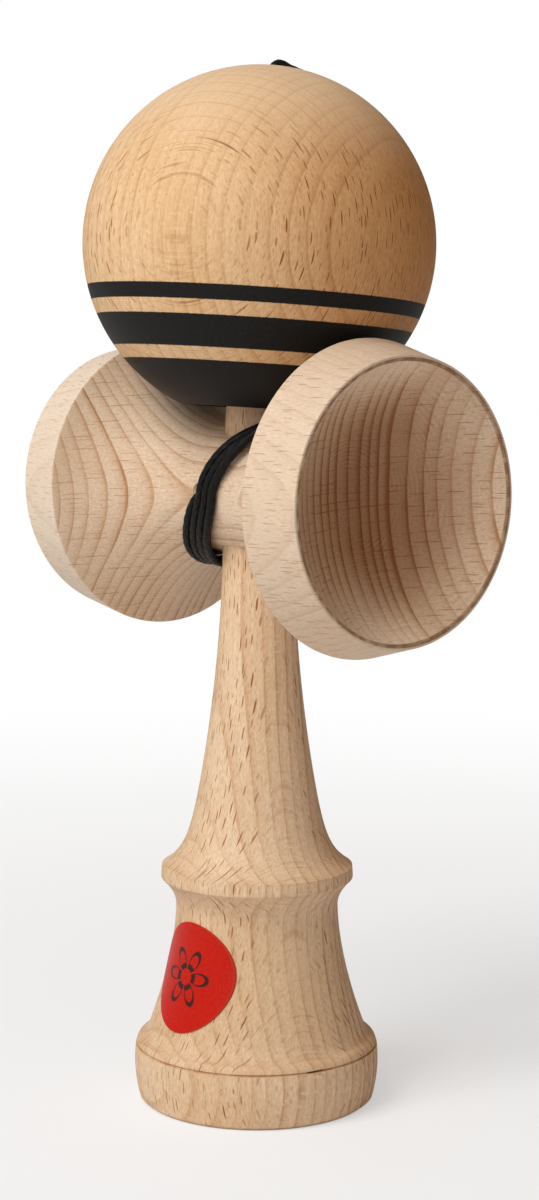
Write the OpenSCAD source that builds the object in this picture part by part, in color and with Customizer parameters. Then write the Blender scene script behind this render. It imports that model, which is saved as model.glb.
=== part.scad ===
// Kendama: a turned wooden handle with a spike and a base cup, a crosspiece with a big and a small cup,
// and a bored ball on a string. The ball is put away on the spike, resting on the edge of a cup,
// and the string is wound round the crosspiece's neck.
// Lengths are in millimetres. The foot stands on z = 0, +Z runs up the handle, +X to the big cup.

/* [Handle] */
// Widest radius of the foot ring
foot_r = 21.4; // [20.8:0.1:26]
// Height of the foot ring
foot_h = 9.8; // [8:0.1:13]
// Height at which the foot ring is widest
foot_widest_z = 6.8; // [5:0.1:8]
// How far the foot ring's side falls in at the bottom
foot_fall = 1; // [0.2:0.1:1.4]
// Chamfer under the foot ring
foot_edge = 0.6; // [0.2:0.1:0.7]
// Mouth radius of the base cup
base_mouth_r = 18.8; // [12:0.1:19]
// Depth of the base cup
base_depth = 10; // [5:0.1:13]
// Height of the rounded ledge above the foot ring
ledge_h = 1.6; // [0.8:0.1:2.5]
// Width of the rounded ledge
ledge_w = 1.6; // [0.8:0.1:1.7]
// Radius where the ledge meets the flare
flare_r = 19.5; // [16.5:0.1:19.6]
// Length of the flare between ledge and waist
flare_len = 23.1; // [19:0.1:30]
// Radius of the waist
waist_r = 14.15; // [11:0.05:16.2]
// Length of the cove between waist and ridge
cove_len = 5; // [3:0.1:8]
// Radius of the ridge
ridge_r = 16.9; // [14.3:0.1:20.3]
// Height of the ridge
ridge_h = 2; // [1:0.1:4]
// How far the ridge's side falls in at the top
ridge_fall = 0.25; // [0:0.05:0.5]
// Length of the grip between ridge and crosspiece
grip_len = 54.4; // [45:0.1:66]
// Radius of the grip's lower end, without the fillet at the ridge
grip_r = 13; // [9:0.1:14]
// How fast the fillet at the ridge dies out
grip_fillet = 2.6; // [1:0.1:4]
// Radius of the seat's lower end, where the crosspiece is pushed on
seat_r = 6.15; // [6:0.05:7]
// Radius of the spike's root, at the top of the seat
spike_r = 5.75; // [4.8:0.05:5.9]
// Length of the spike above the crosspiece
spike_len = 40; // [33:0.5:48]
// Radius of the spike where its tip rounds over
tip_r = 3.1; // [2.5:0.1:3.8]
// Height of the rounded tip
tip_h = 3; // [2:0.1:4]

/* [Crosspiece] */
// Radius of the neck
neck_r = 11.1; // [9.3:0.1:13.3]
// Length of the neck's straight middle
neck_len = 10; // [8:0.1:12]
// Distance from the middle to the big cup's lip
big_len = 37.5; // [36:0.1:45]
// Distance from the middle to the big cup's shoulder
big_shoulder_x = 27.7; // [23.1:0.1:29.5]
// Radius of the big cup's shoulder
big_shoulder_r = 26.35; // [24.5:0.05:29.5]
// Outer radius of the big cup at its lip
big_wall_r = 23.8; // [23.6:0.05:25.5]
// Mouth radius of the big cup
big_mouth_r = 22.9; // [18:0.1:23]
// Depth of the big cup
big_depth = 15; // [8:0.1:18]
// Distance from the middle to the small cup's lip
small_len = 36.4; // [34:0.1:43.6]
// Distance from the middle to the small cup's shoulder
small_shoulder_x = 25.6; // [21.4:0.1:29.5]
// Radius of the small cup's shoulder
small_shoulder_r = 25.45; // [24.2:0.05:29]
// Outer radius of the small cup at its lip
small_wall_r = 23.65; // [23.5:0.05:25]
// Mouth radius of the small cup
small_mouth_r = 22.75; // [17:0.05:22.9]
// Depth of the small cup
small_depth = 14; // [7:0.1:17]
// Rounding of the cups' outer lip edge
lip_round = 0.25; // [0.2:0.05:0.6]
// Clearance between the seat and the crosspiece's bore
seat_gap = 0.05; // [0.02:0.01:0.1]

/* [Ball] */
// Radius of the ball
ball_r = 30; // [29.5:0.1:36]
// Radius of the ball's spike hole
hole_r = 11.4; // [9.5:0.1:13.7]
// Wood left above the spike hole
crown = 10.75; // [9:0.25:13]
// Lean of the ball on the spike, in degrees
ball_lean = 4.3; // [0:0.1:6]
// Gap between the ball and what it rests on
ball_gap = 0.3; // [0.2:0.05:0.5]
// Radius of the string hole in the ball's top
top_hole_r = 1.5; // [1.2:0.1:2]
// Radius of the countersink of that hole
top_sink_r = 3.2; // [2.6:0.1:4]
// Depth of that countersink
top_sink_h = 2; // [1.6:0.1:3]

/* [Bead] */
// Radius of the bead
bead_r = 4.5; // [3.6:0.1:5.4]
// Height of the bead
bead_h = 6.6; // [5.5:0.1:8]
// Radius of the bead's bulging side, in section
bead_side_r = 6; // [4:0.1:10]
// Radius of the bead's hole
bead_hole_r = 1.2; // [1.1:0.05:1.5]
// Radius of the recess for the knot
bead_recess_r = 2.4; // [2.3:0.1:3]
// Depth of the recess for the knot
bead_recess_h = 3.6; // [2.5:0.1:4.5]
// Gap between the bead and the end of the spike hole
bead_gap = 0.3; // [0.2:0.05:0.5]

/* [Sticker] */
// Radius of the round sticker
sticker_r = 9.25; // [6:0.05:10]
// Height of its centre above the ledge
sticker_up = 12.5; // [11:0.1:12.9]
// Turn of its centre from the front
sticker_turn = 1; // [-180:1:180]
// Thickness of the sticker
sticker_t = 0.2; // [0.1:0.05:0.4]
// Gap between the sticker and the flare
sticker_gap = 0.05; // [0.03:0.01:0.1]

/* [String] */
// Diameter of the string
cord_d = 1.5; // [1.2:0.1:1.6]
// Diameter of its knots
knot_d = 4.2; // [3.2:0.1:4.4]
// Turns round the neck, ending in a half turn
turns = 3.5; // [1.5:1:3.5]
// Spacing of the turns
turn_pitch = 2.2; // [2.15:0.05:2.3]
// Gap between the turns and the neck
turn_gap = 0.2; // [0.15:0.05:0.25]
// Middle of the strands over the top, towards the big cup
over_x = 10; // [9.6:0.1:10.2]
// Middle of the strands under the neck, towards the small cup
under_x = 10.5; // [10.4:0.1:11.2]
// Tilt of the row of strands under the neck, in degrees
under_tilt = 20; // [15:1:25]
// Gap round the string and its knots in the string holes
cord_gap = 0.3; // [0.2:0.05:0.4]

/* [Hidden] */
$fa = 4;
$fs = 0.4;
// One overrun for every cut, and the steps of every turned curve
overrun = 1;
curve_steps = 8;
grip_steps = 14;
lip_steps = 3;
// Powers of the turned curves: the flare, the cove and the slant of the string
flare_power_share = 1.7;
cove_power_share = 2;
slant_power_share = 1.5;
// Share of the grip's taper that is straight, and the rest curves
grip_straight_share = 0.16;
// Rings in a turn of the string, sides of the wound and of the free string, points between two route points
turn_rings = 24;
turn_sides = 6;
free_sides = 8;
route_steps = 3;
lead_steps = 6;
// Small gap where two lengths of string meet end to end
joint_gap = 0.1;
// Clearance between the spike's tip and the knot under the bead
tip_clear = 1;
// Depth below the ball's top at which the string through the bead ends
tail_depth = 3.6;
// How far the string reaches out of its hole, and back from the first turn, in the bend between them
lead_reach = 3.8;
// Angle below the middle of the back at which the string leaves the neck, in degrees
leave_angle = 30;

// Heights up the handle
ledge_z = foot_h + ledge_h;
waist_z = ledge_z + flare_len;
ridge_z = waist_z + cove_len;
grip_z = ridge_z + ridge_h;
seat_z = grip_z + grip_len;
cross_z = seat_z + neck_r;
root_z = seat_z + 2 * neck_r;
tip_z = root_z + spike_len;
foot_bottom_r = foot_r - foot_fall;
fillet_w = ridge_r - ridge_fall - grip_r;
seat_mid_r = (seat_r + spike_r) / 2;
cord_r = cord_d / 2;
knot_r = knot_d / 2;
// Distance of the handle's knot behind the handle's axis
knot_back = seat_mid_r - knot_r - cord_gap;

// Where the ball rests: on the shoulder of a cup, unless the spike's tip would reach the bead's knot
bead_top = ball_r - crown - bead_gap;
knot_s = bead_top - bead_h + bead_recess_h - cord_gap - knot_r;
shoulder_rest = max(rest_height(big_shoulder_x, big_shoulder_r),
    rest_height(small_shoulder_x, small_shoulder_r));
tip_rest = tip_z + tip_clear - (knot_s - knot_r) * cos(ball_lean) - cross_z;
ball_centre = [0, 0, cross_z + max(shoulder_rest, tip_rest)];
ball_axis = [0, sin(ball_lean), cos(ball_lean)];
tail_top = ball_r - tail_depth;

// Height of the ball's centre above the crosspiece's axis when it rests on a shoulder
function rest_height(x, r) = r + sqrt(max(0, pow(ball_r + ball_gap, 2) - x * x));

// Radius of the sphere that cuts a cup of a given mouth and depth
function cup_sphere_r(mouth, depth) = (mouth * mouth + depth * depth) / (2 * depth);

// Outline of the handle's pieces, as [radius, height]
function foot_radius(z) = foot_r - foot_fall * pow((z - foot_widest_z) / foot_widest_z, 2);
function ledge_radius(z) = flare_r + ledge_w * sqrt(max(0, 1 - pow((z - foot_h) / ledge_h, 2)));
function flare_radius(z) = waist_r
    + (flare_r - waist_r) * pow(max(0, waist_z - z) / flare_len, flare_power_share);
function cove_radius(z) = waist_r + (ridge_r - waist_r) * pow((z - waist_z) / cove_len, cove_power_share);
function grip_taper(s) = grip_straight_share * s + (1 - grip_straight_share) * s * s;
function grip_radius(z) = seat_r + (grip_r - seat_r) * grip_taper((seat_z - z) / grip_len)
    + fillet_w * exp(-(z - grip_z) / grip_fillet);
foot_curve = [for (i = [0:curve_steps]) let (z = foot_edge + (foot_h - foot_edge) * i / curve_steps)
    [foot_radius(z), z]];
ledge_curve = [for (i = [0:lip_steps]) let (z = foot_h + ledge_h * sin(90 * i / lip_steps))
    [ledge_radius(z), z]];
flare_curve = [for (i = [1:curve_steps]) let (z = ledge_z + flare_len * i / curve_steps)
    [flare_radius(z), z]];
cove_curve = [for (i = [1:curve_steps]) let (z = waist_z + cove_len * i / curve_steps)
    [cove_radius(z), z]];
grip_curve = [for (i = [0:grip_steps]) let (z = grip_z + grip_len * pow(i / grip_steps, 2))
    [grip_radius(z), z]];
tip_curve = [for (i = [0:curve_steps]) let (a = 90 * i / curve_steps)
    [tip_r * cos(a), tip_z + tip_h * (sin(a) - 1)]];
handle_outline = concat([[0, 0], [foot_bottom_r - foot_edge, 0]], foot_curve, ledge_curve, flare_curve,
    cove_curve, grip_curve, [[spike_r, root_z]], tip_curve);

// Outline of one half of the crosspiece, from the neck out to the lip, as [radius, distance from the middle]
function horn_radius(x, shoulder_x, shoulder_r) =
    let (
        run = shoulder_x - neck_len / 2,
        rise = shoulder_r - neck_r,
        bend = (run * run + rise * rise) / (2 * rise))
    neck_r + bend - sqrt(max(0, bend * bend - pow(max(0, x - neck_len / 2), 2)));
function half_outline(len, shoulder_x, shoulder_r, wall_r) = concat(
    [for (i = [0:curve_steps]) let (x = neck_len / 2 + (shoulder_x - neck_len / 2) * i / curve_steps)
        [horn_radius(x, shoulder_x, shoulder_r), x]],
    [for (i = [0:lip_steps]) let (a = 90 * i / lip_steps)
        [wall_r - lip_round * (1 - cos(a)), len - lip_round * (1 - sin(a))]]);
function cross_radius(x) = x > 0 ? horn_radius(x, big_shoulder_x, big_shoulder_r)
    : horn_radius(-x, small_shoulder_x, small_shoulder_r);
big_half = half_outline(big_len, big_shoulder_x, big_shoulder_r, big_wall_r);
small_half = half_outline(small_len, small_shoulder_x, small_shoulder_r, small_wall_r);
cross_outline = concat([[0, -small_len]],
    [for (i = [len(small_half) - 1:-1:0]) [small_half[i].x, -small_half[i].y]], big_half, [[0, big_len]]);

// The string's turns, by their angle from the top of the neck towards the front.
// They slant over the top beside the spike and under on the other side of the handle.
// The row of strands keeps its spacing on the slant, and tilts under the neck.
start_angle = 90;
join_angle = 120;
end_angle = start_angle + 360 * turns - leave_angle;
slant_mid = (over_x - under_x) / 2;
slant_x = (over_x + under_x) / 2;
function slant(a) = sign(cos(a)) * pow(abs(cos(a)), slant_power_share);
function slant_slope(a) = slant_x * slant_power_share * pow(abs(cos(a)), slant_power_share - 1) * sin(a)
    / (neck_r + turn_gap + cord_r);
function row_offset(a) = turn_pitch * ((a - start_angle) / 360 - turns / 2);
function row_tilt(a) = under_tilt * pow(max(0, -cos(a)), 2);
function turn_x(a) = slant_mid + slant_x * slant(a)
    + row_offset(a) * cos(row_tilt(a)) * sqrt(1 + pow(slant_slope(a), 2));
function turn_r(a) = cross_radius(turn_x(a)) + turn_gap + cord_r
    + (turn_pitch * turns / 2 + cord_gap - row_offset(a)) * sin(row_tilt(a));
function turn_point(a) = [turn_x(a), -turn_r(a) * sin(a), cross_z + turn_r(a) * cos(a)];
function turn_heading(a) = unit(turn_point(a + 1) - turn_point(a - 1));
function unit(v) = v / norm(v);

// The string comes out of its hole square to the string inside, then bends down into the first turn
hole_turn = atan2(turn_x(start_angle), turn_r(start_angle));
hole_heading = [sin(hole_turn), -cos(hole_turn), 0];
lead_r = neck_r - cord_d;
lead_from = [0, 0, cross_z] + lead_r * hole_heading;
lead_to = turn_point(join_angle);
function bezier(a, b, c, d, q) = a * pow(1 - q, 3) + 3 * b * q * pow(1 - q, 2) + 3 * c * q * q * (1 - q)
    + d * pow(q, 3);
lead_curve = [for (i = [0:lead_steps - 1]) bezier(lead_from, lead_from + lead_reach * hole_heading,
    lead_to - lead_reach * turn_heading(join_angle), lead_to, i / lead_steps)];
turn_curve = [for (i = [0:(end_angle - join_angle) * turn_rings / 360])
    turn_point(join_angle + 360 * i / turn_rings)];
winding_end = turn_point(end_angle) + cord_d * turn_heading(end_angle);
winding_path = concat([lead_from - cord_d * hole_heading], lead_curve, turn_curve, [winding_end]);

// Route of the free string up the back of the ball, from the ball's centre, then down into its top
free_route = [[3.7, 12.8, -43.2], [4.4, 14.4, -39], [4.8, 16.4, -33.5], [5, 19, -27.6], [5, 22.6, -21.8],
    [4.8, 26.4, -16], [4.5, 29.2, -10], [4.2, 31, -2], [4, 30.7, 5], [3.2, 28.85, 11.5], [2.1, 25, 18.58],
    [0.7, 20.1, 23.72], [-0.65, 14.7, 27.38], [-1.32, 10.5, 29.24], [-1.76, 7.98, 30.05],
    [-1.14, 5.83, 30.58], [-0.74, 4.58, 30.57], [-0.38, 3.43, 30.05], [-0.12, 2.56, 29.09]];
free_start = winding_end + joint_gap * turn_heading(end_angle);
free_end = ball_centre + (tail_top + joint_gap) * ball_axis;
free_points = concat([free_start, free_start + cord_d * turn_heading(end_angle)],
    [for (p = free_route) ball_centre + p], [free_end + cord_d * ball_axis, free_end]);
free_path = smooth(free_points, route_steps);

// A smooth curve through points, with steps between each two
function curve_point(a, b, c, d, q) = (2 * b + (c - a) * q + (2 * a - 5 * b + 4 * c - d) * q * q
    + (3 * b - a - 3 * c + d) * q * q * q) / 2;
function smooth(pts, steps) = let (last = len(pts) - 1) concat(
    [for (i = [0:last - 1], k = [0:steps - 1]) let (
        before = i > 0 ? pts[i - 1] : 2 * pts[0] - pts[1],
        after = i < last - 1 ? pts[i + 2] : 2 * pts[last] - pts[last - 1])
        curve_point(before, pts[i], pts[i + 1], after, k / steps)], [pts[last]]);

// Length of a path, and the least gap between its strands, measured from points to segments
function path_length(path) = let (legs = [for (i = [1:len(path) - 1]) norm(path[i] - path[i - 1])])
    legs * [for (leg = legs) 1];
function segment_distance(p, a, b) = let (q = max(0, min(1, (p - a) * (b - a) / ((b - a) * (b - a)))))
    norm(p - a - q * (b - a));
function least_gap(path, apart) = min([for (i = [0:len(path) - 1], k = [0:len(path) - 2])
    if (abs(i - k) > apart) segment_distance(path[i], path[k], path[k + 1])]) - cord_d;
echo(str("least gap between the string's turns: ", least_gap(winding_path, turn_rings / 2), " mm"));
anchor_length = knot_back + lead_r - cord_d - joint_gap;
tail_length = tail_top - knot_s;
string_length = anchor_length + path_length(winding_path) + path_length(free_path) + tail_length;
echo(str("string length: ", string_length, " mm"));

// A tube of flat sides along a path, closed at both ends
module tube(path, r, sides) {
    last = len(path) - 1;
    rings = [for (i = [0:last]) let (
        heading = unit(path[min(i + 1, last)] - path[max(i - 1, 0)]),
        across = unit(cross(heading, [1, 0, 0])),
        up = cross(heading, across))
        each [for (k = [0:sides - 1]) let (a = 360 * k / sides)
            path[i] + r * (across * cos(a) + up * sin(a))]];
    walls = [for (i = [0:last - 1], k = [0:sides - 1]) let (
        a = i * sides + k,
        b = i * sides + (k + 1) % sides)
        each [[a, a + sides, b], [b, a + sides, b + sides]]];
    far = last * sides;
    ends = [for (k = [1:sides - 2]) each [[0, k, k + 1], [far, far + k + 1, far + k]]];
    polyhedron(rings, concat(walls, ends));
}

// Places its children along the string hole, with +Z out of the front of the neck
module along_string_hole() {
    translate([0, 0, cross_z]) rotate([90, 0, hole_turn]) children();
}

// Places its children along the ball's axis, with the ball's centre at the origin
module along_ball() {
    translate(ball_centre) rotate([-ball_lean, 0, 0]) children();
}

// Handle: one turned piece with base cup, foot, flare, ridge, grip, seat and spike
module handle() {
    pocket_floor = knot_back - knot_r - cord_gap;
    color("burlywood") difference() {
        rotate_extrude() polygon(handle_outline);
        translate([0, 0, base_depth - cup_sphere_r(base_mouth_r, base_depth)])
            sphere(cup_sphere_r(base_mouth_r, base_depth));
        along_string_hole() {
            translate([0, 0, -pocket_floor - overrun])
                cylinder(h = pocket_floor + seat_r + 2 * overrun, r = cord_r + cord_gap);
            translate([0, 0, -seat_r - overrun])
                cylinder(h = seat_r + overrun - pocket_floor, r = knot_r + cord_gap);
        }
    }
}

// Crosspiece: one turned piece with a cup at each end, a tapered bore on the seat and the string's hole
module crosspiece() {
    bore_slope = (seat_r - spike_r) / (2 * neck_r);
    sink_r = 2 * cord_d + cord_gap;
    color("wheat") translate([0, 0, cross_z]) difference() {
        rotate([0, 90, 0]) rotate_extrude() polygon(cross_outline);
        translate([big_len - big_depth + cup_sphere_r(big_mouth_r, big_depth), 0, 0])
            sphere(cup_sphere_r(big_mouth_r, big_depth));
        translate([small_depth - small_len - cup_sphere_r(small_mouth_r, small_depth), 0, 0])
            sphere(cup_sphere_r(small_mouth_r, small_depth));
        translate([0, 0, -neck_r - overrun]) cylinder(h = 2 * (neck_r + overrun),
            r1 = seat_r + seat_gap + overrun * bore_slope, r2 = spike_r + seat_gap - overrun * bore_slope);
        rotate([90, 0, hole_turn]) {
            cylinder(h = neck_r + overrun, r = cord_r + cord_gap);
            translate([0, 0, lead_r]) cylinder(h = 2 * cord_d, r1 = cord_r + cord_gap, r2 = sink_r);
        }
    }
}

// Sticker: a thin disc that lies on the flare at the front of the foot
module round_sticker() {
    low = ledge_z;
    inner = concat([[flare_r, low]], flare_curve);
    shell = concat([for (p = inner) [p.x + sticker_gap, p.y]],
        [for (i = [len(inner) - 1:-1:0]) [inner[i].x + sticker_gap + sticker_t, inner[i].y]]);
    color("firebrick") intersection() {
        rotate_extrude() polygon(shell);
        translate([0, 0, ledge_z + sticker_up]) rotate([90, 0, sticker_turn])
            cylinder(h = flare_r + overrun, r = sticker_r);
    }
}

// String in the handle: the knot in its pocket and the straight run out towards the neck
module string_anchor() {
    color("dimgray") along_string_hole() {
        translate([0, 0, -knot_back]) sphere(knot_r);
        translate([0, 0, -knot_back]) cylinder(h = anchor_length, r = cord_r);
    }
}

// String round the neck, from its hole to the back
module string_winding() {
    color("dimgray") tube(winding_path, cord_r, turn_sides);
}

// String up the back of the ball and into its top
module string_free() {
    color("dimgray") tube(free_path, cord_r, free_sides);
}

// String through the ball's crown and the bead, with the knot that holds the bead
module string_tail() {
    color("dimgray") along_ball() {
        translate([0, 0, knot_s]) sphere(knot_r);
        translate([0, 0, knot_s]) cylinder(h = tail_top - knot_s, r = cord_r);
    }
}

// Bead that keeps the string in the ball
module bead() {
    color("tan") along_ball() translate([0, 0, bead_top - bead_h]) rotate_extrude() difference() {
        intersection() {
            square([bead_r, bead_h]);
            translate([bead_r - bead_side_r, bead_h / 2]) circle(bead_side_r);
        }
        square([bead_hole_r, bead_h]);
        square([bead_recess_r, bead_recess_h]);
    }
}

// Ball with its spike hole and the string's hole
module ball() {
    color("goldenrod") along_ball() difference() {
        sphere(ball_r);
        translate([0, 0, -ball_r - overrun]) cylinder(h = 2 * ball_r + overrun - crown, r = hole_r);
        cylinder(h = ball_r + overrun, r = top_hole_r);
        translate([0, 0, ball_r - top_sink_h]) cylinder(h = 2 * top_sink_h, r1 = top_hole_r,
            r2 = 2 * top_sink_r - top_hole_r);
    }
}

handle();
crosspiece();
round_sticker();
string_anchor();
string_winding();
string_free();
bead();
string_tail();
ball();
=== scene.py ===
import math
import bpy
import numpy as np
from mathutils import Matrix, Vector


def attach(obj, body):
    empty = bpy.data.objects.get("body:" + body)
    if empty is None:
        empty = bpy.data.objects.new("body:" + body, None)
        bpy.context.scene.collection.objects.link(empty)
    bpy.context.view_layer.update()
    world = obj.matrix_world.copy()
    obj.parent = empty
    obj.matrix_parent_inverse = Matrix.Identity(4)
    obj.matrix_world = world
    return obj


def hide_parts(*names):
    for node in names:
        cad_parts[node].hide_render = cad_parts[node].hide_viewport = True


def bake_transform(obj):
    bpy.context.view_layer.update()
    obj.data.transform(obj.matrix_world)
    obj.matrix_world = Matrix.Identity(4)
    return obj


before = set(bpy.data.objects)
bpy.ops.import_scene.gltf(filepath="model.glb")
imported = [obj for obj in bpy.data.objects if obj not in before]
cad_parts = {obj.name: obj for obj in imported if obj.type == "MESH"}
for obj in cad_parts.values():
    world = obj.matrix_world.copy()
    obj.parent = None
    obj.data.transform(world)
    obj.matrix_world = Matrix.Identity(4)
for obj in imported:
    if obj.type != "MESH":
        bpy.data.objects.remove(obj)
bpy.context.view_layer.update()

# Handle: one piece of beech turned on a lathe, with a cup under the foot, a ridge above the waist
# and a long taper that ends in the spike. It is sanded fine, and only the tool's rub has browned its edges.
# The flare's front is dimmed and a small chip on the ledge is darkened, both with painted shade.
MM = 0.001


def rounded(points, corner, reach):
    """Cuts one corner of an outline with a curve that leaves and meets its sides at a given reach.

    The curve is (1-t)^2 times the start, plus 2t(1-t) times the corner, plus t^2 times the end.
    """
    before = points[corner - 1] - points[corner]
    after = points[corner + 1] - points[corner]
    start = points[corner] + before / np.linalg.norm(before) * min(reach, 0.45 * np.linalg.norm(before))
    end = points[corner] + after / np.linalg.norm(after) * min(reach, 0.45 * np.linalg.norm(after))
    t = np.linspace(0, 1, 7)[:, None]
    curve = (1 - t) ** 2 * start + 2 * t * (1 - t) * points[corner] + t ** 2 * end
    return np.concatenate([points[:corner], curve, points[corner + 1:]])


def grid_mesh(name, points, wrap_rows=False):
    """Makes a smooth mesh of a grid of points, in metres, that closes round its columns.

    Rows run along the piece. The first and last rows are closed with caps, or join where rows wrap.
    """
    rows, columns = points.shape[:2]
    index = np.arange(rows * columns).reshape(rows, columns)
    upper = np.roll(index, -1, axis=0) if wrap_rows else index[1:]
    lower = index if wrap_rows else index[:-1]
    quads = np.stack([lower, np.roll(lower, -1, axis=1), np.roll(upper, -1, axis=1), upper], axis=-1)
    faces = quads.reshape(-1, 4).tolist()
    if not wrap_rows:
        faces.append(index[0, ::-1].tolist())
        faces.append(index[-1].tolist())
    mesh = bpy.data.meshes.new(name)
    mesh.from_pydata(points.reshape(-1, 3).tolist(), [], faces)
    mesh.validate()
    mesh.shade_smooth()
    mesh.set_sharp_from_angle(angle=math.radians(38))
    piece = bpy.data.objects.new(name, mesh)
    bpy.context.scene.collection.objects.link(piece)
    return piece


def turned(name, outline, centre, axis, side, columns=168, wrap=False):
    """Turns an outline of (radius, height) pairs, in mm, about an axis through a centre.

    A point is the centre, plus height times the axis, plus radius times cos(angle) along the side
    and sin(angle) along the third direction.
    """
    axis = np.array(axis, float)
    side = np.array(side, float)
    third = np.cross(axis, side)
    angle = np.linspace(0, 2 * np.pi, columns, endpoint=False)
    ring = np.cos(angle)[:, None] * side + np.sin(angle)[:, None] * third
    points = np.array(centre) + outline[:, 1, None, None] * axis + outline[:, 0, None, None] * ring
    return grid_mesh(name, points * MM, wrap_rows=wrap)


def drilled(piece, drill):
    """Takes a drill's shape out of a piece, so that what is left is the piece less the drill."""
    cut = piece.modifiers.new("drill", "BOOLEAN")
    cut.object = drill
    cut.operation = "DIFFERENCE"
    cut.solver = "EXACT"
    whole = piece.data
    seen = piece.evaluated_get(bpy.context.evaluated_depsgraph_get())
    piece.data = bpy.data.meshes.new_from_object(seen)
    piece.modifiers.clear()
    piece.data.set_sharp_from_angle(angle=math.radians(38))
    bpy.data.objects.remove(drill)
    bpy.data.meshes.remove(whole)


class Value:
    """A number or vector in a material, so that its sums are written as plain arithmetic."""

    def __init__(self, tree, socket):
        self.tree = tree
        self.socket = socket

    def node(self, kind, inputs, output=0, **settings):
        """Adds any node, sets its inputs by name or place, and gives one of its outputs."""
        made = self.tree.nodes.new(kind)
        for name, setting in settings.items():
            setattr(made, name, setting)
        for name, given in inputs.items():
            if isinstance(given, Value):
                self.tree.links.new(given.socket, made.inputs[name])
            else:
                made.inputs[name].default_value = given
        return Value(self.tree, made.outputs[output])

    def math(self, operation, *others):
        return self.node("ShaderNodeMath", dict(enumerate((self,) + others)), operation=operation)

    def __add__(self, other):
        return self.math("ADD", other)

    __radd__ = __add__

    def __mul__(self, other):
        return self.math("MULTIPLY", other)

    __rmul__ = __mul__

    def __sub__(self, other):
        return self.math("SUBTRACT", other)

    def __rsub__(self, other):
        return self * -1.0 + other

    def __truediv__(self, other):
        return self.math("DIVIDE", other)

    def __pow__(self, other):
        return self.math("POWER", other)

    def step(self, low, high):
        """Rises smoothly from 0 at low to 1 at high."""
        return self.node("ShaderNodeMapRange", {0: self, 1: low, 2: high}, interpolation_type="SMOOTHSTEP")

    def band(self, low, high, soft):
        """Is 1 between low and high, and falls to 0 over a soft edge."""
        return self.step(low - soft, low + soft) * (1.0 - self.step(high - soft, high + soft))

    def along(self, direction):
        """Gives a vector's part along a direction."""
        return self.node("ShaderNodeVectorMath", {0: self, 1: direction}, output=1, operation="DOT_PRODUCT")

    def blend(self, start, end):
        """Mixes two colours by this number."""
        return self.node("ShaderNodeMix", {0: self, 6: start, 7: end}, output=2, data_type="RGBA")


def start_material(name):
    """Makes a material and gives it, its shader and the place of each point in mm."""
    material = bpy.data.materials.new(name)
    material.use_nodes = True
    tree = material.node_tree
    shader = tree.nodes["Principled BSDF"]
    place = tree.nodes.new("ShaderNodeTexCoord")
    place = Value(tree, place.outputs["Object"])
    place = place.node("ShaderNodeVectorMath", {0: place, "Scale": 1000.0}, operation="SCALE")
    return material, shader, place


def grain(place, centre, radial, across, along):
    """Gives a place's distances from a centre along the rings' radius, across it and along the grain."""
    off = place.node("ShaderNodeVectorMath", {0: place, 1: centre}, operation="SUBTRACT")
    return off.along(radial), off.along(across), off.along(along)


def stretched(u, v, w, lengths):
    """Joins three distances, each over its own length, into one vector."""
    return u.node("ShaderNodeCombineXYZ", {0: u / lengths[0], 1: v / lengths[1], 2: w / lengths[2]})


def cloud(u, v, w, lengths, detail=2.0):
    """Soft noise whose clumps have a given length each way, from 0 to 1."""
    spot = stretched(u, v, w, lengths)
    return spot.node("ShaderNodeTexNoise", {"Vector": spot, "Scale": 1.0, "Detail": detail})


def rays(u, v, w, cell, thick, tall):
    """The wood's rays: thin sheets that stand along the radius, each a lens across and along the grain.

    The lens is 1 minus the sum of the squares of the distances from its middle, over its two half sizes.
    """
    spot = stretched(u, v, w, cell)
    near = spot.node("ShaderNodeTexVoronoi", {"Vector": spot, "Scale": 1.0}, output="Position")
    tint = near.node("ShaderNodeTexWhiteNoise", {"Vector": near}, output="Value")
    away = spot.node("ShaderNodeVectorMath", {0: spot, 1: near}, operation="SUBTRACT")
    size = 0.45 + 0.75 * tint
    lens = (away.along((0, 1, 0)) * (cell[1] / thick)) ** 2.0
    lens = lens + (away.along((0, 0, 1)) * (cell[2] / tall) / size) ** 2.0
    return (1.0 - lens.step(0.35, 1.0)) * (0.35 + 0.65 * tint)


def uneven(count, amount, rate):
    """Shifts a count by slow noise along it, so that its steps come at uneven distances."""
    slow = count.node("ShaderNodeTexNoise", {"W": count * rate, "Scale": 1.0, "Detail": 1.0},
                      noise_dimensions="1D")
    return count + amount * slow


def by_step(count):
    """A number from 0 to 1 that is drawn afresh for each whole step of a count."""
    return count.node("ShaderNodeTexWhiteNoise", {"W": count.math("FLOOR")}, output="Value",
                      noise_dimensions="1D")


def rings(u, v, w, pith, spacing, waver):
    """Growth rings: the distance from the tree's middle over the spacing, wavered by noise.

    Each ring darkens slowly and ends in a thin line, whose strength changes from place to place.
    """
    reach = ((u + pith) ** 2.0 + v ** 2.0) ** 0.5
    reach = reach + waver * (cloud(u, v, w, (16.0, 16.0, 70.0)) - 0.5)
    count = uneven(reach / spacing, 1.6, 0.21)
    part = count.math("FRACT")
    line = 0.48 * part.step(0.15, 0.9) ** 2.0 + 0.52 * part.step(0.76, 0.93)
    line = line * (1.0 - part.step(0.95, 1.0))
    return line * (0.35 + 0.65 * by_step(count))


def tinted(colour, tint, share=1.0):
    """Multiplies a colour by a tint, by a share."""
    return colour.node("ShaderNodeMix", {0: share, 6: colour, 7: tint}, output=2, data_type="RGBA",
                       blend_type="MULTIPLY")


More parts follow.
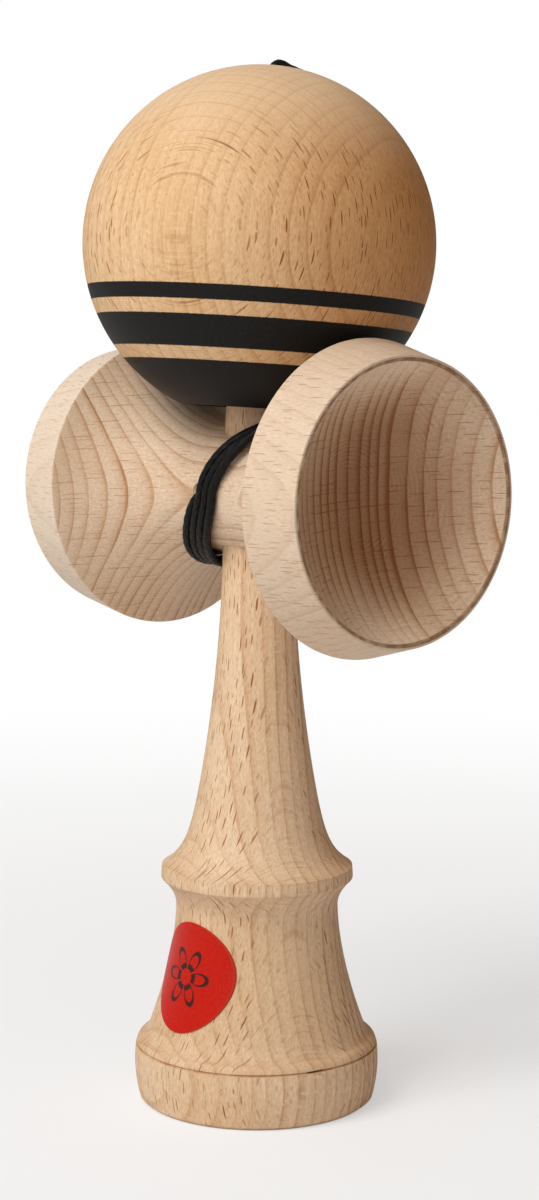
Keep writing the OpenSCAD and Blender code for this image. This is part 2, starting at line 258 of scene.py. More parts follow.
def beech(u, v, w, pale, honey, line, fleck, ring_share, ray_share, pith, spacing, waver,
          flat_add=0.0, plain=1.0):
    """Beech, cut as a solid: slow change of tone, rings, large and small rays, ray flakes painted paler as a
    sheen, fibres and pores.
    """
    tone = cloud(u, v, w, (18.0, 18.0, 60.0))
    colour = tone.step(0.3, 0.7).blend(pale, honey)
    streak = cloud(u, v, w, (0.45, 0.45, 7.0), 3.0)
    pore = cloud(u, v, w, (0.26, 0.26, 0.95), 2.0)
    ring = rings(u, v, w, pith, spacing, waver)
    fade = cloud(u, v, w, (14.0, 9.0, 30.0)).step(0.3, 0.65)
    colour = (ring * (0.5 + 0.5 * fade) * plain * ring_share).blend(colour, line)
    flat = (v ** 2.0 / (u ** 2.0 + v ** 2.0 + flat_add)).step(0.72, 0.97)
    large = rays(u, v, w, (22.0, 1.15, 4.4), 0.10, 1.35) * (1.0 - 0.8 * flat)
    small = rays(u + 5.0, v + 3.0, w + 2.0, (12.0, 0.55, 1.7), 0.05, 0.55) * (1.0 - 0.4 * flat)
    colour = (small * 0.42 * ray_share).blend(colour, fleck)
    colour = (large * ray_share).blend(colour, fleck)
    # Ray flakes on the quarter-sawn faces are real, and are painted paler than the wood as a sheen.
    flake_sheen = rays(u + 9.0, v + 1.0, w, (7.0, 0.5, 1.1), 0.08, 0.32) * flat
    colour = (flake_sheen * 0.8).blend(colour, pale)
    light = (streak - 0.5) * 0.3 + (pore - 0.5) * 0.55 + 1.0
    warm = light.node("ShaderNodeCombineColor", {0: light ** 0.8, 1: light ** 1.1, 2: light ** 1.5})
    colour = tinted(colour, warm)
    relief = pore * 0.5 + streak * 0.5 - large * 0.6
    return colour, relief


def wood_finish(shader, colour, relief, rough=0.55, shine=0.3, depth=0.012):
    """Puts a colour and a fine relief on a wood shader."""
    tree = shader.id_data
    tree.links.new(colour.socket, shader.inputs["Base Color"])
    bump = relief.node("ShaderNodeBump", {"Height": relief, "Distance": depth * MM, "Strength": 1.0})
    tree.links.new(bump.socket, shader.inputs["Normal"])
    shader.inputs["Roughness"].default_value = rough
    shader.inputs["Specular IOR Level"].default_value = shine


middle_r = 0.02
cross_z = 107.0
cup_r = 18.8
cup_depth = 10.0
foot_rim_r = 19.8
foot_low_z = 0.6
foot_top_z = 9.58
foot_wide_z = 6.8
foot_r = 21.4
foot_belly = 1.0
groove_r = 20.86
ledge_r = 19.5
ledge_z = 9.8
ledge_round = 1.6
hollow_z = 11.45
flare_low_z = 12.9
flare_swell = 5.35
waist_r = 14.15
waist_z = 34.5
ridge_swell = 2.75
ridge_z = 39.5
ridge_top_z = 41.5
grip_len = 54.4
grip_swell = 6.85
shoulder_swell = 3.65
shoulder_run = 2.6
seat_low_r = 6.15
seat_top_r = 5.75
seat_top_z = 118.1
tip_r = 3.1
tip_z = 155.1
tip_tall = 3.0


def flare_radius(z):
    """Radius of the flare: the waist's, plus the swell times the share of the way down to the power 1.7."""
    down = np.maximum(waist_z - z, 0) / (waist_z - ledge_z - ledge_round)
    return waist_r + flare_swell * down ** 1.7


share = np.linspace(0, 1, 49)
cup_ball_r = (cup_r ** 2 + cup_depth ** 2) / (2 * cup_depth)
cup_side = np.linspace(middle_r, cup_r, 60)
cup = np.stack([cup_side, cup_depth - cup_ball_r + np.sqrt(cup_ball_r ** 2 - cup_side ** 2)], axis=1)
foot_z = foot_low_z + (foot_top_z - foot_low_z) * share
foot = np.stack([foot_r - foot_belly * ((foot_z - foot_wide_z) / foot_wide_z) ** 2, foot_z], axis=1)
ledge_turn = np.linspace(0.12, np.pi / 3, 12)
ledge = np.stack([np.cos(ledge_turn), np.sin(ledge_turn)], axis=1) * ledge_round + [ledge_r, ledge_z]
ledge = np.concatenate([[[groove_r, ledge_z]], ledge])
flare_z = flare_low_z + (waist_z - flare_low_z) * share
flare = np.stack([flare_radius(flare_z), flare_z], axis=1)
t = np.linspace(0, 1, 10)[1:-1, None]
hollow = (1 - t) ** 2 * ledge[-1] + 2 * t * (1 - t) * np.array([ledge_r, hollow_z]) + t ** 2 * flare[0]
cove_z = waist_z + (ridge_z - waist_z) * share[1::2]
cove = np.stack([waist_r + ridge_swell * ((cove_z - waist_z) / (ridge_z - waist_z)) ** 2, cove_z], axis=1)
grip_z = ridge_top_z + grip_len * np.linspace(0, 1, 90) ** 2
taper = (ridge_top_z + grip_len - grip_z) / grip_len
grip_r = seat_low_r + grip_swell * (0.16 * taper + 0.84 * taper ** 2)
grip_r = grip_r + shoulder_swell * np.exp(-(grip_z - ridge_top_z) / shoulder_run)
grip = np.stack([grip_r, grip_z], axis=1)
spike_half = [(seat_top_r + tip_r) / 2, (seat_top_z + tip_z) / 2]
spike = np.array([[seat_top_r, seat_top_z], spike_half])
tip_turn = np.linspace(0, 0.4985 * np.pi, 24)
tip = np.stack([tip_r * np.cos(tip_turn), tip_z + tip_tall * np.sin(tip_turn)], axis=1)
outline = np.concatenate([cup, [[foot_rim_r, 0.0]], foot, ledge, hollow, flare, cove, grip, spike, tip])
outline = rounded(outline, len(cup) - 1, 0.4)
for corner, reach in ((cove[-1], 0.5), (grip[0], 0.6)):
    nearest = int(np.argmin(np.abs(outline - corner).sum(axis=1)))
    outline = rounded(outline, nearest, reach)
handle = turned("handle_turned", outline, (0, 0, 0), (0, 0, 1), (1, 0, 0))
hole_turn = math.radians(-12.5)
hole_way = np.array([math.sin(hole_turn), -math.cos(hole_turn), 0])
axis_point = np.array([0, 0, cross_z])
knot_room_r = 2.4
knot_room_end = -1.15
string_bore_r = 1.05
drill_end = 8.0
pocket = np.array([[middle_r, -drill_end], [knot_room_r, -drill_end], [knot_room_r, knot_room_end],
                   [string_bore_r, knot_room_end], [string_bore_r, drill_end], [middle_r, drill_end]])
drilled(handle, turned("string_drill", pocket, axis_point, hole_way, (0, 0, 1), columns=40))
material, shader, place = start_material("handle_beech")
u, v, w = grain(place, (0, 0, 60), (-0.234, -0.972, 0.02), (0.972, -0.234, 0.0), (0.0, 0.02, 1.0))
colour, relief = beech(u, v, w, (0.72, 0.52, 0.34, 1), (0.655, 0.44, 0.255, 1), (0.44, 0.205, 0.075, 1),
                       (0.30, 0.10, 0.028, 1), ring_share=1.05, ray_share=1.15, pith=44.0, spacing=2.05,
                       waver=2.0, plain=0.55 + 0.55 * place.along((0.636, 0.772, 0.0)).step(-9.0, 7.0))
height = place.along((0, 0, 1))
# Painted shade: the front of the flare, toward the camera, is dimmed by a greyer tint between heights 13 and
# 36 mm.
front = place.along((0.772, -0.636, 0.0)).step(8.0, 15.0)
colour = tinted(colour, (0.92, 0.89, 0.84, 1), front * height.band(13.0, 36.0, 3.0))
rubbed = cloud(u, v, w, (5.0, 5.0, 9.0)).step(0.3, 0.7)
ledge_band = height.band(ledge_z + 0.1, ledge_z + 2.4, 0.5)
groove_band = height.band(ledge_z - 0.18, ledge_z + 0.18, 0.12)
colour = (ledge_band * 0.35 * rubbed).blend(colour, (0.52, 0.27, 0.10, 1))
colour = (groove_band * (0.3 + 0.7 * rubbed)).blend(colour, (0.46, 0.20, 0.06, 1))
# Painted shade: a nearly black mark at one place on the ledge's edge stands in for a small chip that the
# geometry doesn't cut.
chip_side = place.along((0.1994, 0.9797, 0.0))
chip = (height - 0.03 * chip_side).band(ledge_z - 0.08, ledge_z + 0.22, 0.09)
chip = chip * chip_side.band(-1.3, 1.7, 0.5)
chip = chip * place.along((0.9797, -0.1994, 0.0)).step(19.0, 20.0)
colour = (chip * 0.95).blend(colour, (0.045, 0.015, 0.007, 1))
edge = height.band(ridge_z - 0.5, ridge_z + 0.5, 0.4) + height.band(ridge_top_z - 0.4, ridge_top_z + 0.4, 0.4)
edge = edge * cloud(u, v, w, (6.0, 6.0, 6.0)).step(0.45, 0.75)
colour = (edge * 0.4).blend(colour, (0.50, 0.27, 0.11, 1))
wood_finish(shader, colour, relief)
handle.data.materials.append(material)
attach(handle, "handle")
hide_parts("handle")

# Crosspiece: one piece of beech turned with its grain along it, a wide cup at each end and a slim neck.
# It is bored across and pushed over the handle's seat, where the string holds it.
neck_r = 11.1
neck_half = 5.0
big_len = 37.5
big_shoulder_x = 27.7
big_shoulder_r = 26.35
big_wall_r = 23.8
big_mouth_r = 22.9
big_depth = 15.0
small_len = 36.4
small_shoulder_x = 25.6
small_shoulder_r = 25.45
small_wall_r = 23.65
small_mouth_r = 22.75
small_depth = 14.0
lip_round = 0.25


def horn_radius(x, shoulder_x, shoulder_r):
    """Radius of one half at a distance from the middle: the neck's, then an arc that leaves it level.

    The arc's radius is (run^2 + rise^2) over twice the rise from the neck to the shoulder.
    """
    run = shoulder_x - neck_half
    rise = shoulder_r - neck_r
    bend = (run ** 2 + rise ** 2) / (2 * rise)
    return neck_r + bend - np.sqrt(bend ** 2 - np.maximum(np.abs(x) - neck_half, 0) ** 2)


def bowl_radius(mouth_r, depth):
    """Radius of the ball that a cup is cut by: (mouth^2 + depth^2) over twice the depth."""
    return (mouth_r ** 2 + depth ** 2) / (2 * depth)


def half_cross(length, shoulder_x, shoulder_r, wall_r, mouth_r, depth):
    """Outline of half the crosspiece from the neck's middle to the cup's floor, as (radius, distance).

    The horn is an arc that leaves the neck level; the cup is a sphere cut by the lip.
    """
    x = np.linspace(neck_half, shoulder_x, 64)
    horn = np.stack([horn_radius(x, shoulder_x, shoulder_r), x], axis=1)
    turn = np.linspace(0, np.pi / 2, 9)
    lip = np.stack([wall_r - lip_round * (1 - np.cos(turn)), length - lip_round * (1 - np.sin(turn))], axis=1)
    radius = bowl_radius(mouth_r, depth)
    side = np.linspace(mouth_r, middle_r, 72)
    bowl = np.stack([side, length - depth + radius - np.sqrt(radius ** 2 - side ** 2)], axis=1)
    half = np.concatenate([horn, lip, bowl])
    return rounded(rounded(half, len(horn) + len(lip), 0.12), len(horn) - 1, 0.3)


big = half_cross(big_len, big_shoulder_x, big_shoulder_r, big_wall_r, big_mouth_r, big_depth)
small = half_cross(small_len, small_shoulder_x, small_shoulder_r, small_wall_r, small_mouth_r, small_depth)
outline = np.concatenate([small[::-1] * [1, -1], big])
crosspiece = turned("crosspiece_turned", outline, (0, 0, cross_z), (1, 0, 0), (0, 1, 0))
bore_low_r = 6.218
bore_top_r = 5.782
bore_half = neck_r + 1.0
seat_bore = np.array([[middle_r, -bore_half], [bore_low_r, -bore_half], [bore_top_r, bore_half],
                      [middle_r, bore_half]])
bore_turn = 0.017
bore_side = (math.cos(bore_turn), math.sin(bore_turn), 0)
drilled(crosspiece, turned("seat_drill", seat_bore, axis_point, (0, 0, 1), bore_side, columns=96))
sink_from = 9.6
sink_end = 12.6
sink_end_r = 1.9
string_bore = np.array([[middle_r, 0.0], [string_bore_r, 0.0], [string_bore_r, sink_from],
                        [sink_end_r, sink_end], [middle_r, sink_end]])
drilled(crosspiece, turned("string_drill", string_bore, axis_point, hole_way, (0, 0, 1), columns=40))
material, shader, place = start_material("crosspiece_beech")
u, v, w = grain(place, (0, 0, cross_z), (0.03, 1.0, 0.05), (0.0, -0.05, 1.0), (1.0, -0.03, 0.0))
reach = place.along((1, 0, 0))
off_axis = ((place.along((0, 0, 1)) - cross_z) ** 2.0 + place.along((0, 1, 0)) ** 2.0) ** 0.5


def inside_bowl(distance, length, mouth_r, depth):
    """Is 1 on the face of a cup: within the cup's own ball, plus a little, about the ball's middle."""
    radius = bowl_radius(mouth_r, depth)
    middle = length - depth + radius
    apart = (distance - middle) ** 2.0 + off_axis ** 2.0
    return 1.0 - apart.step((radius + 0.12) ** 2, (radius + 0.42) ** 2)


big_bowl = inside_bowl(reach, big_len, big_mouth_r, big_depth)
small_bowl = inside_bowl(reach * -1.0, small_len, small_mouth_r, small_depth)
bowl = big_bowl + small_bowl
# How deep a point lies in each cup: it strengthens the rings there and darkens the colour as painted shade.
deep = (1.0 - reach.step(big_len - big_depth, big_len - 2.5)) * big_bowl
deep = deep + (1.0 - (reach * -1.0).step(small_len - small_depth, small_len - 2.4)) * small_bowl
big_wall = reach.step(big_shoulder_x - 0.2, big_shoulder_x + 0.3) * (1.0 - bowl)
small_wall = (reach * -1.0).step(small_shoulder_x - 0.2, small_shoulder_x + 0.3) * (1.0 - bowl)
# Painted sheen: the near inner wall of the big cup gets fainter rings and a paler, cooler tint, as where
# light grazes the end grain.
near = place.along((0, 1, 0)) - 0.02 * (place.along((0, 0, 1)) - cross_z) ** 2.0
near = big_bowl * (1.0 - near.step(-10.0, 2.0))
plain = 1.0 - 0.5 * (big_wall + small_wall) - 0.1 * bowl + 1.6 * deep - 0.5 * near
colour, relief = beech(u, v, w, (0.725, 0.555, 0.40, 1), (0.665, 0.485, 0.33, 1), (0.42, 0.205, 0.082, 1),
                       (0.38, 0.17, 0.065, 1), ring_share=1.25,
                       ray_share=0.6 + 0.25 * bowl + 0.8 * (big_wall + small_wall),
                       pith=70.0, spacing=2.15, waver=1.0, plain=plain)
colour = (big_wall * 0.45).blend(colour, (0.665, 0.52, 0.385, 1))
colour = (small_wall * 0.5).blend(colour, (0.78, 0.67, 0.545, 1))
tool_mark = (off_axis * 9.0 + 3.0 * cloud(u, v, w, (6.0, 6.0, 6.0))).math("SINE")
tool_mark = tool_mark * cloud(u, v, w, (5.0, 5.0, 5.0), 3.0).step(0.45, 0.7)
# Darker end grain with tool marks over the cups, plus painted shade that deepens toward each cup's floor.
end_grain_and_painted_shade = (0.1 + 0.14 * tool_mark) * bowl + 0.8 * deep
colour = tinted(colour, (0.52, 0.38, 0.28, 1), end_grain_and_painted_shade)
# Painted sheen on the big cup's near inner wall.
colour = tinted(colour, (1.3, 1.4, 1.5, 1), near)
# More painted shade deep in the cups, kept off the painted sheen.
colour = tinted(colour, (0.9, 0.8, 0.72, 1), deep * (1.0 - near))
lip = reach.step(big_len - 0.6, big_len - 0.2) + (reach * -1.0).step(small_len - 0.6, small_len - 0.2)
lip = lip * off_axis.band(22.7, 23.35, 0.08)
lip = lip * (0.6 + 0.4 * cloud(u, v, w, (2.0, 2.0, 2.0), 3.0).step(0.35, 0.6))
colour = (lip * 0.9).blend(colour, (0.21, 0.10, 0.04, 1))
wood_finish(shader, colour, relief)
crosspiece.data.materials.append(material)
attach(crosspiece, "handle")
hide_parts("crosspiece")

# Sticker: a disc of glossy printed film with a thin cut edge, pressed on the flare of the handle.
# It bends with the flare and is held by its own glue.
disc_r = 9.25
disc_z = 23.9
disc_turn = math.radians(1.0)
glue = 0.05
film = 0.2


def flare_skin(across, up, lift):
    """Places points of the disc on the flare: a sideways distance and a height give the angle by arc sine.

    The radius is the flare's own, plus a lift.
    """
    level = disc_z + up
    radius = flare_radius(level) + lift
    angle = np.arcsin(across / radius) + disc_turn
    return np.stack([radius * np.sin(angle), -radius * np.cos(angle), level], axis=-1)


face = np.concatenate([[middle_r], np.linspace(0.5, disc_r - 0.1, 40)])
spread = np.concatenate([face, [disc_r - 0.03, disc_r, disc_r], face[::-1]])
cut_edge = [glue + 0.85 * film, glue + 0.6 * film, glue]
lift = np.concatenate([np.full(len(face), glue + film), cut_edge, np.full(len(face), glue)])
turn = np.linspace(0, 2 * np.pi, 128, endpoint=False)
points = flare_skin(spread[:, None] * np.cos(turn), spread[:, None] * np.sin(turn), lift[:, None])
sticker = grid_mesh("sticker_disc", points[::-1] * MM)
material, shader, place = start_material("sticker_film")
side = place.along((1, 0, 0))
level = place.along((0, 0, 1)) - disc_z
rim = (side ** 2.0 + level ** 2.0) ** 0.5
print_noise = cloud(side, place.along((0, 1, 0)), level, (0.35, 0.35, 0.35), 2.0)
colour = print_noise.step(0.3, 0.7).blend((0.45, 0.009, 0.003, 1), (0.54, 0.013, 0.004, 1))
petal_long = 5.4
petal = ((level.math("ARCTAN2", side) * 3.0).math("COSINE").math("ABSOLUTE") ** 0.7) * petal_long
ink = (petal - rim).step(0.0, 0.25) * rim.step(1.3, 1.5)
ink = ink - (petal - rim).step(0.85, 1.1) * rim.step(2.2, 2.45)
colour = (ink * 0.95).blend(colour, (0.022, 0.014, 0.012, 1))
colour = rim.step(disc_r - 0.05, disc_r).blend(colour, (0.46, 0.03, 0.01, 1))
shader.id_data.links.new(colour.socket, shader.inputs["Base Color"])
shader.inputs["Roughness"].default_value = 0.34
shader.inputs["Specular IOR Level"].default_value = 0.13
sticker.data.materials.append(material)
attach(sticker, "handle")
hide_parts("round_sticker")

# String: one black braided cord, knotted inside the handle, led out of the neck, wound round it,
# then up the back of the ball. Its strands lie side by side and are held only by their own pull.
CORD_R = 0.75
ball_centre = np.array([0, 0, 148.659])
lean = math.radians(4.3)
ball_axis = np.array([0, math.sin(lean), math.cos(lean)])
row_slant = 9.85
row_middle = 0.15
lie_gap = 0.06
slack_most = 0.9
loosest_at = 405.0
knot_r = 2.0


def wound(angle, pitch=1.57, turns=3.5, tilt_most=15.0):
    """Points of the turns by their angle in degrees from the top of the neck towards the front.

    The row slants by cos(angle) to the power 1.5 from the one side of the spike to the other side of
    the handle, keeps its pitch across the slant, tilts under the neck and stands off a little in front.
    """
    a = np.radians(angle)
    slant = np.sign(np.cos(a)) * np.abs(np.cos(a)) ** 1.5
    slope = row_slant * 1.5 * np.sqrt(np.abs(np.cos(a))) * np.sin(a) / (neck_r + 0.2 + CORD_R)
    off = pitch * ((angle - 90.0) / 360.0 - turns / 2)
    tilt = np.radians(tilt_most) * np.maximum(0, -np.cos(a)) ** 2
    slack = slack_most * np.maximum(0, np.sin(2 * a)) ** 2 * (np.cos(a) > 0)
    slack = slack * (0.8 + 0.35 * np.sin(2.2 * angle / 360.0 + 1.2))
    apart = 0.55 * slack * np.exp(-((angle - loosest_at) / 150.0) ** 2)
    x = row_middle + row_slant * slant + off * np.cos(tilt) * np.sqrt(1 + slope ** 2) - apart
    shoulder_x = np.where(x > 0, big_shoulder_x, small_shoulder_x)
    shoulder_r = np.where(x > 0, big_shoulder_r, small_shoulder_r)
    lies_on = horn_radius(x, shoulder_x, shoulder_r)
    r = lies_on + slack + lie_gap + CORD_R + (pitch * turns / 2 + off) * np.sin(tilt)
    return np.stack([x, -r * np.sin(a), cross_z + r * np.cos(a)], axis=1)


def smooth_path(points, spacing):
    """A curve through points, each piece a cubic that leaves with half the chord of its neighbours.

    It is then stepped evenly along its length.
    """
    ends = np.concatenate([[2 * points[0] - points[1]], points, [2 * points[-1] - points[-2]]])
    a, b, c, d = ends[:-3, None], ends[1:-2, None], ends[2:-1, None], ends[3:, None]
    t = np.linspace(0, 1, 16, endpoint=False)[None, :, None]
    curve = 2 * b + (c - a) * t + (2 * a - 5 * b + 4 * c - d) * t ** 2
    curve = (curve + (3 * b - a - 3 * c + d) * t ** 3) / 2
    curve = np.concatenate([curve.reshape(-1, 3), points[-1:]])
    run = np.concatenate([[0], np.cumsum(np.linalg.norm(np.diff(curve, axis=0), axis=1))])
    even = np.linspace(0, run[-1], int(run[-1] / spacing) + 1)
    return np.stack([np.interp(even, run, curve[:, k]) for k in range(3)], axis=1)


def braided(name, path, sides=24, spacing=0.2, weave=2.2):
    """A tube along a path whose radius swells where two sets of four strands cross over each other.

    The swell is the larger of cos(4 angle + turn) and cos(4 angle - turn), turn growing along the path,
    and each set lies on top by turns.
    """
    heading = np.gradient(path, axis=0)
    heading = heading / np.linalg.norm(heading, axis=1)[:, None]
    across = np.empty_like(path)
    across[0] = np.cross(heading[0], [0.3, 0.5, 0.8])
    for i in range(1, len(path)):
        across[i] = across[i - 1] - heading[i] * (across[i - 1] @ heading[i])
        across[i] = across[i] / np.linalg.norm(across[i])
    across[0] = across[0] / np.linalg.norm(across[0])
    third = np.cross(heading, across)
    angle = np.linspace(0, 2 * np.pi, sides, endpoint=False)[None, :]
    turn = (np.arange(len(path)) * spacing * 2 * np.pi / weave)[:, None]
    one = np.cos(4 * angle + turn) + 0.35 * np.cos(8 * angle)
    two = np.cos(4 * angle - turn) - 0.35 * np.cos(8 * angle)
    radius = CORD_R * (0.93 + 0.07 * np.maximum(one, two))
    ring = np.cos(angle)[..., None] * across[:, None] + np.sin(angle)[..., None] * third[:, None]
    return grid_mesh(name, (path[:, None] + radius[..., None] * ring) * MM)


def knot(name, middle, size):
    """A small knot: a ball of points whose radius swells and dips along three crossing turns of string."""
    tall = np.linspace(np.pi - 0.03, 0.03, 40)[:, None]
    angle = np.linspace(0, 2 * np.pi, 48, endpoint=False)[None, :]
    radius = size * (0.9 + 0.1 * np.abs(np.sin(1.5 * angle + 3.0 * tall)))
    points = np.stack([radius * np.sin(tall) * np.cos(angle), radius * np.sin(tall) * np.sin(angle),
                       radius * np.cos(tall) * np.ones_like(angle)], axis=-1)
    return grid_mesh(name, (np.array(middle) + points) * MM)


def string_material():
    """Black braid: dark fibres along the strands, a little lighter where they stand up."""
    material, shader, place = start_material("string_black")
    x, y, z = (place.along(way) for way in ((1, 0, 0), (0, 1, 0), (0, 0, 1)))
    fibre = cloud(x, y, z, (0.12, 0.12, 0.12))
    colour = fibre.step(0.3, 0.75).blend((0.003, 0.003, 0.003, 1), (0.010, 0.0095, 0.009, 1))
    shader.id_data.links.new(colour.socket, shader.inputs["Base Color"])
    bump = fibre.node("ShaderNodeBump", {"Height": fibre, "Distance": 0.03 * MM})
    shader.id_data.links.new(bump.socket, shader.inputs["Normal"])
    shader.inputs["Roughness"].default_value = 0.42
    shader.inputs["Specular IOR Level"].default_value = 0.15
    return material


black = string_material()
angles = np.arange(120.0, 1320.1, 6.0)
turns = wound(angles)
first_way = turns[1] - turns[0]
first_way = first_way / np.linalg.norm(first_way)
t = np.linspace(0, 1, 8)[:-1, None]
lead_from = axis_point + sink_from * hole_way
leave_by = lead_from + 2.6 * hole_way
meet_by = turns[0] - 3.4 * first_way
lead = (lead_from * (1 - t) ** 3 + 3 * leave_by * t * (1 - t) ** 2
        + 3 * meet_by * t ** 2 * (1 - t) + turns[0] * t ** 3)
knot_back = 3.55
inside = axis_point + np.linspace(0.35 - knot_back, sink_from - 1.0, 7)[:, None] * hole_way
wound_path = smooth_path(np.concatenate([inside, lead, turns]), 0.2)
string_wound = braided("string_wound", wound_path)
string_wound.data.materials.append(black)
handle_knot = knot("handle_knot", axis_point - knot_back * hole_way, knot_r)
handle_knot.data.materials.append(black)
for piece in (string_wound, handle_knot):
    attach(piece, "handle")
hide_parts("string_winding")
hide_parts("string_anchor")

# Bead: a small turned barrel of wood inside the ball, threaded on the string.
# The knot under it, in its recess, keeps the ball from slipping off.
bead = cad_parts["bead"]
material, shader, place = start_material("bead_beech")
u, v, w = grain(place, tuple(ball_centre), (1, 0, 0), (0, 1, 0), (0, 0, 1))
colour, relief = beech(u, v, w, (0.72, 0.52, 0.32, 1), (0.66, 0.45, 0.26, 1), (0.48, 0.27, 0.12, 1),
                       (0.33, 0.16, 0.06, 1), ring_share=0.5, ray_share=0.7, pith=30.0, spacing=1.4,
                       waver=0.6)
wood_finish(shader, colour, relief)
bead.data.materials.clear()
bead.data.materials.append(material)

# Free string: the same cord where it leaves the neck, climbs the back of the ball and goes in at its top.
# It ends in the knot under the bead.
route = np.array([[3.7, 12.8, -43.2], [4.4, 14.4, -39], [4.8, 16.4, -33.5], [5, 19, -27.6],
                  [5, 22.6, -21.8], [4.8, 26.4, -16], [4.5, 29.2, -10], [4.2, 31, -2], [4, 30.7, 5],
                  [3.2, 28.85, 11.5], [2.1, 25, 18.58], [0.7, 20.1, 23.72], [-0.65, 14.7, 27.38],
                  [-1.32, 10.5, 29.24], [-1.76, 7.98, 30.05], [-1.14, 5.83, 30.58], [-0.74, 4.58, 30.57],
                  [-0.38, 3.43, 30.05], [-0.12, 2.56, 29.09]])
last_way = wound_path[-1] - wound_path[-4]
last_way = last_way / np.linalg.norm(last_way)
joint_gap = 0.05
start = wound_path[-1] + joint_gap * last_way
tail_knot = 13.55
down = ball_centre + np.array([28.0, 25.0, 21.0, 17.5, 15.2])[:, None] * ball_axis
free_path = smooth_path(np.concatenate([[start, start + 1.6 * last_way], ball_centre + route, down]), 0.2)
string_free = braided("string_up", free_path)
string_free.data.materials.append(black)
bead_knot = knot("bead_knot", ball_centre + tail_knot * ball_axis, knot_r)
bead_knot.data.materials.append(black)
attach(bead_knot, "bead")
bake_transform(string_free)
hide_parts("string_free")
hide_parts("string_tail")

# Ball: turned from one block of beech, bored from below for the spike and drilled through the top.
# Three bands of matt black lacquer are painted on while it turns; the rest is left bare.
ball_r = 30.0
spike_hole_r = 11.4
spike_hole_low = -27.2
spike_hole_top = 19.25
string_hole_r = 1.5
sink_r = 3.2
sink_low = 28.0
polar = np.linspace(math.asin(sink_r / ball_r), math.pi - math.asin(spike_hole_r / ball_r), 170)
sphere = np.stack([ball_r * np.sin(polar), ball_r * np.cos(polar)], axis=1)
bore_z = np.linspace(spike_hole_low, spike_hole_top, 24)
bore = np.stack([np.full(len(bore_z), spike_hole_r), bore_z], axis=1)
crown = np.array([[9.0, spike_hole_top], [5.0, spike_hole_top], [string_hole_r, spike_hole_top],
                  [string_hole_r, 24.0], [string_hole_r, sink_low]])
outline = np.concatenate([sphere, bore, crown])
outline = rounded(outline, len(sphere) - 1, 0.45)
ball = turned("ball_turned", outline[::-1], ball_centre, ball_axis, (1, 0, 0), columns=176, wrap=True)


def ray_lines(u, v, w, apart):
    """Rays cut across the end of the grain: thin lines along the radius, at uneven distances."""
    place = v + 0.8 * (cloud(u, v, w, (14.0, 14.0, 14.0)) - 0.5)
    count = uneven(place / apart, 1.4, 0.23)
    return count.math("FRACT").band(0.46, 0.54, 0.05) * (0.25 + 0.75 * by_step(count))


material, shader, place = start_material("ball_beech")
u, v, w = grain(place, tuple(ball_centre), (0.910, 0.415, -0.03), (0.415, -0.910, 0.07), tuple(ball_axis))
rise = w / ball_r
colour, relief = beech(u, v, w, (0.73, 0.49, 0.275, 1), (0.665, 0.41, 0.20, 1), (0.46, 0.22, 0.08, 1),
                       (0.29, 0.095, 0.026, 1), ring_share=0.75, ray_share=1.15 - 0.8 * rise.step(0.35, 0.8),
                       pith=60.0, spacing=2.3, waver=1.4, flat_add=w ** 2.0,
                       plain=1.0 - 0.5 * (u ** 2.0 / ball_r ** 2).step(0.3, 0.9))
# Painted shade: the side of the ball away from the lamps is tinted darker and warmer.
colour = tinted(colour, (0.79, 0.62, 0.45, 1), u.step(4.0, ball_r))
# Painted light: the top of the ball is blended half way to a paler tone, where the lamp above lights it.
colour = (rise.step(0.3, 0.9) * 0.5).blend(colour, (0.76, 0.58, 0.39, 1))
ends = ray_lines(u, v, w, 2.2) * rise.step(0.35, 0.7)
colour = (ends * 0.5).blend(colour, (0.46, 0.22, 0.08, 1))
level = w + 0.16 * (cloud(u, v, w, (0.5, 0.5, 0.5), 3.0) - 0.5)
narrow_band = level.band(-11.04, -8.58, 0.07)
wide_band = level.band(-18.43, -13.34, 0.07)
low_band = level.band(-ball_r - 1.0, -20.47, 0.07)
outside = (u ** 2.0 + v ** 2.0 + w ** 2.0).step((ball_r - 1.4) ** 2, (ball_r - 0.6) ** 2)
paint = (narrow_band + wide_band + low_band) * outside
speck = cloud(u, v, w, (0.2, 0.2, 1.2), 2.0).step(0.3, 0.8)
colour = paint.blend(colour, speck.blend((0.003, 0.0028, 0.0026, 1), (0.010, 0.009, 0.008, 1)))
wood_finish(shader, colour, relief * (1.0 - 0.5 * paint), shine=0.2)
ball.data.materials.append(material)
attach(ball, "ball")
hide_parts("ball")

# Stage: a pale floor, two soft lamps and the camera at the photo's angle. It isn't part of the object.


def floor_material():
    """Pale floor that shows nearly white to the camera and keeps a soft shadow."""
    material = bpy.data.materials.new("stage_floor")
    material.use_nodes = True
    tree = material.node_tree
    tree.nodes.clear()
    out = tree.nodes.new("ShaderNodeOutputMaterial")
    ray = Value(tree, tree.nodes.new("ShaderNodeLightPath").outputs["Is Camera Ray"])
    pale = ray.node("ShaderNodeBsdfDiffuse", {"Color": (0.86, 0.86, 0.86, 1)})
    white = ray.node("ShaderNodeEmission", {"Color": (1, 1, 1, 1), "Strength": 1.0})
    place = Value(tree, tree.nodes.new("ShaderNodeTexCoord").outputs["Object"])
    far = place.node("ShaderNodeVectorMath", {0: place}, output=1, operation="LENGTH").step(0.03, 0.45)
    mixed = ray.node("ShaderNodeMixShader", {0: ray * (0.5 + 0.5 * far), 1: pale, 2: white})
    tree.links.new(mixed.socket, out.inputs["Surface"])
    return material


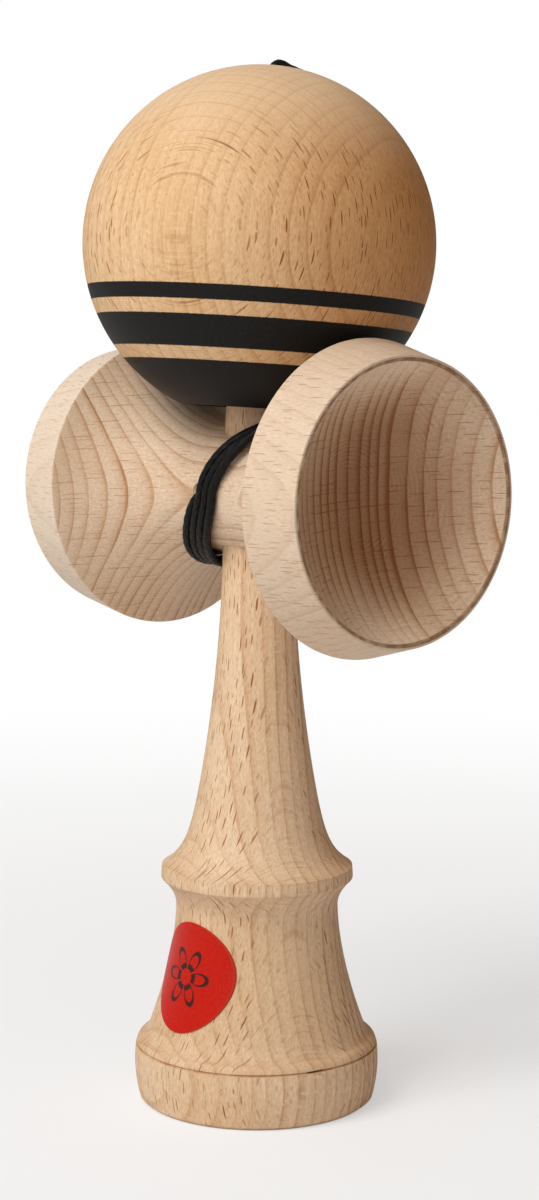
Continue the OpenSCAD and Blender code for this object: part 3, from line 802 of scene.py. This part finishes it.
floor_mesh = bpy.data.meshes.new("stage_floor")
half = 6.0
corners = [(-half, -half, 0), (half, -half, 0), (half, half, 0), (-half, half, 0)]
floor_mesh.from_pydata(corners, [], [(0, 1, 2, 3)])
floor_mesh.materials.append(floor_material())
floor = bpy.data.objects.new("stage_floor", floor_mesh)
bpy.context.scene.collection.objects.link(floor)
turn = math.radians(50.491)
world = bpy.data.worlds.new("studio")
bpy.context.scene.world = world
world.use_nodes = True
tree = world.node_tree
tree.nodes.clear()
out = tree.nodes.new("ShaderNodeOutputWorld")
ray = Value(tree, tree.nodes.new("ShaderNodeLightPath").outputs["Is Camera Ray"])
way = Value(tree, tree.nodes.new("ShaderNodeTexCoord").outputs["Generated"])
shade = way.along((math.cos(turn), math.sin(turn), 0)).step(-0.35, 0.55)
shade = shade.blend((0.42, 0.42, 0.42, 1), (0.22, 0.148, 0.095, 1))
soft = ray.node("ShaderNodeBackground", {"Color": shade})
white = ray.node("ShaderNodeBackground", {"Color": (1, 1, 1, 1), "Strength": 1.0})
mixed = ray.node("ShaderNodeMixShader", {0: ray, 1: soft, 2: white})
tree.links.new(mixed.socket, out.inputs["Surface"])
away = np.array([-math.sin(turn), math.cos(turn), 0])
rightward = np.array([math.cos(turn), math.sin(turn), 0])
upward = np.array([0, 0, 1])


def lamp(name, right, back, up, size, power):
    """A square soft lamp at a place given from the camera's side, aimed at the toy's middle."""
    light = bpy.data.lights.new(name, "AREA")
    light.size = size
    light.energy = power
    made = bpy.data.objects.new(name, light)
    spot = right * rightward + back * away + up * upward
    made.location = spot
    aim = np.array([0, 0, 0.1]) - spot
    made.rotation_euler = Vector(aim).to_track_quat("-Z", "Y").to_euler()
    bpy.context.scene.collection.objects.link(made)


lamp("key", right=-0.6, back=-0.5, up=1.0, size=0.6, power=9.6)
lamp("front", right=-0.4, back=-1.1, up=0.6, size=0.7, power=3.2)
camera = bpy.data.cameras.new("camera")
camera.sensor_fit = "VERTICAL"
camera.sensor_height = 36.0
picture_high = 1200.0
focal_pixels = 2430.13
camera.lens = camera.sensor_height * focal_pixels / picture_high
yaw, pitch, roll = np.radians([0.27, 6.771, 0.25])
forward = math.cos(pitch) * (math.sin(yaw) * rightward + math.cos(yaw) * away) - math.sin(pitch) * upward
right = math.cos(yaw) * rightward - math.sin(yaw) * away
above = np.cross(right, forward)
rolled_right = math.cos(roll) * right + math.sin(roll) * above
rolled_up = -math.sin(roll) * right + math.cos(roll) * above
eye_back = 0.41714
eye_up = 0.13745
eye = -eye_back * away + eye_up * upward
view = np.eye(4)
view[:3, 0] = rolled_right
view[:3, 1] = rolled_up
view[:3, 2] = -forward
view[:3, 3] = eye
viewer = bpy.data.objects.new("camera", camera)
viewer.matrix_world = Matrix(view.tolist())
bpy.context.scene.collection.objects.link(viewer)
bpy.context.scene.camera = viewer
bpy.context.scene.view_settings.view_transform = "Standard"
